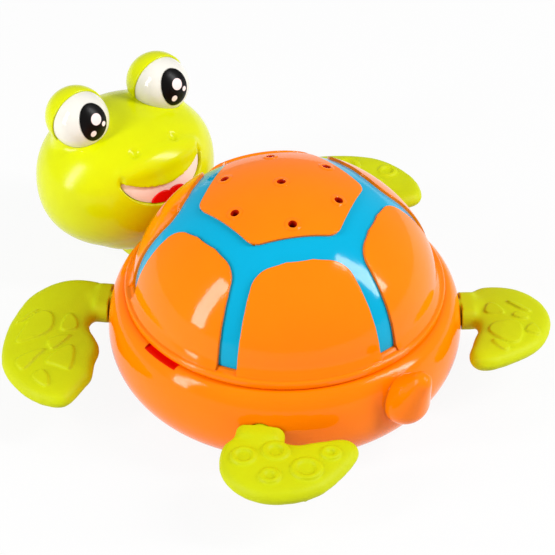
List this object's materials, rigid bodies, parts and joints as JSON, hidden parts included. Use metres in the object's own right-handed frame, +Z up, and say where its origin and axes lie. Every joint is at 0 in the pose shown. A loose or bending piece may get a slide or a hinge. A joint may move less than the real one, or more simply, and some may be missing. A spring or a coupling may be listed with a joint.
{
  "type": "turtle bath toy",
  "caption": "Floating turtle bath toy: a round hull with an inner tray, a lift-off sprinkler shell, a turning head and flippers that swivel on their stems.",
  "frame": {"origin": "middle of the hull's flat foot", "axes": "+Z up, -Y towards the head end of the hull, +X towards the turtle's left side"},
  "size_m": [0.1975, 0.2109, 0.085],
  "materials": {
    "hull": "gloss moulded orange",
    "tray": "gloss moulded orange",
    "screws": "plain steel",
    "shell": "gloss moulded orange",
    "web": "gloss blue",
    "neck": "satin moulded lime",
    "fittings": "satin moulded white",
    "head": "satin soft lime vinyl",
    "eye_white": "gloss white",
    "pupil": "gloss black",
    "mouth": "satin pale pink",
    "tongue": "gloss red",
    "flippers": "matt soft lime vinyl"
  },
  "bodies": {
    "base": {"hull": "hull", "inner_tray": "tray", "hull_screw_1": "screws", "hull_screw_2": "screws", "hull_screw_3": "screws", "hull_screw_4": "screws", "neck_arm": "neck", "neck_arm_screw_1": "screws", "neck_arm_screw_2": "screws", "neck_knob": "fittings", "neck_screw": "screws"},
    "shell": {"shell_dome": "shell", "shell_web": "web"},
    "head": {"head": "head", "eyeball_left": "eye_white", "eyeball_right": "eye_white", "pupil_left": "pupil", "pupil_right": "pupil", "mouth_lining": "mouth", "tongue": "tongue"},
    "flipper_front_left": {"fin_front_left": "flippers", "fin_plug_front_left": "fittings"},
    "flipper_front_right": {"fin_front_right": "flippers", "fin_plug_front_right": "fittings"},
    "flipper_rear_left": {"fin_rear_left": "flippers", "fin_plug_rear_left": "fittings"},
    "flipper_rear_right": {"fin_rear_right": "flippers", "fin_plug_rear_right": "fittings"}
  },
  "joints": [
    {"name": "shell_lift", "type": "slide", "parent": "base", "child": "shell", "axis": [0, 0, 1], "range_m": [0, 0.06]},
    {"name": "head_turn", "type": "hinge", "parent": "base", "child": "head", "pos_m": [0, -0.10547, 0], "axis": [0, 0, 1], "continuous": true},
    {"name": "flipper_turn_front_left", "type": "hinge", "parent": "base", "child": "flipper_front_left", "pos_m": [0, 0, 0.023], "axis": [0.682, -0.7314, 0], "range_deg": [-12, 80]},
    {"name": "flipper_turn_front_right", "type": "hinge", "parent": "base", "child": "flipper_front_right", "pos_m": [0, 0, 0.023], "axis": [0.6293, 0.7771, 0], "range_deg": [-12, 80]},
    {"name": "flipper_turn_rear_left", "type": "hinge", "parent": "base", "child": "flipper_rear_left", "pos_m": [0, 0, 0.023], "axis": [0.7431, 0.6691, 0], "range_deg": [-12, 80]},
    {"name": "flipper_turn_rear_right", "type": "hinge", "parent": "base", "child": "flipper_rear_right", "pos_m": [0, 0, 0.023], "axis": [0.788, -0.6157, 0], "range_deg": [-12, 80]}
  ]
}
